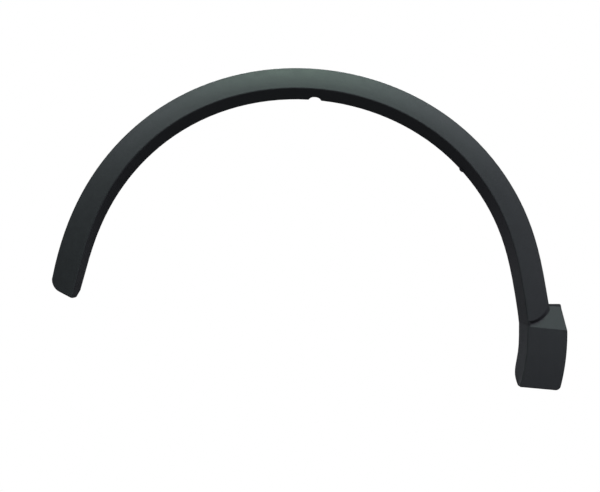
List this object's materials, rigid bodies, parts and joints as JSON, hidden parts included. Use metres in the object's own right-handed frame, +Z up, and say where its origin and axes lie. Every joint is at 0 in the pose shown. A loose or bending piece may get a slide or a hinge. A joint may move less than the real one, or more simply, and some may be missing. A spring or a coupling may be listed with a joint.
{
  "type": "wheel arch trim",
  "caption": "Arched moulded trim that covers the edge of a car's wheel arch, with a crowned face, an inward return lip, a raked foot and a stepped end block, held by push-in clips.",
  "frame": {"origin": "centre of the wheel arch, on the outer surface of the wing panel that the trim sits on", "axes": "+X along the car towards the end block, +Y through the panel into the car, +Z up; the visible side faces -Y"},
  "size_m": [0.8979, 0.036, 0.5618],
  "materials": {
    "grained_plastic": "moulded-in black with a fine even grain on the visible side, smoother behind",
    "clip_nylon": "natural off-white nylon, smooth"
  },
  "bodies": {
    "root": {"arch_trim": "grained_plastic", "push_clips": "clip_nylon"}
  },
  "joints": []
}
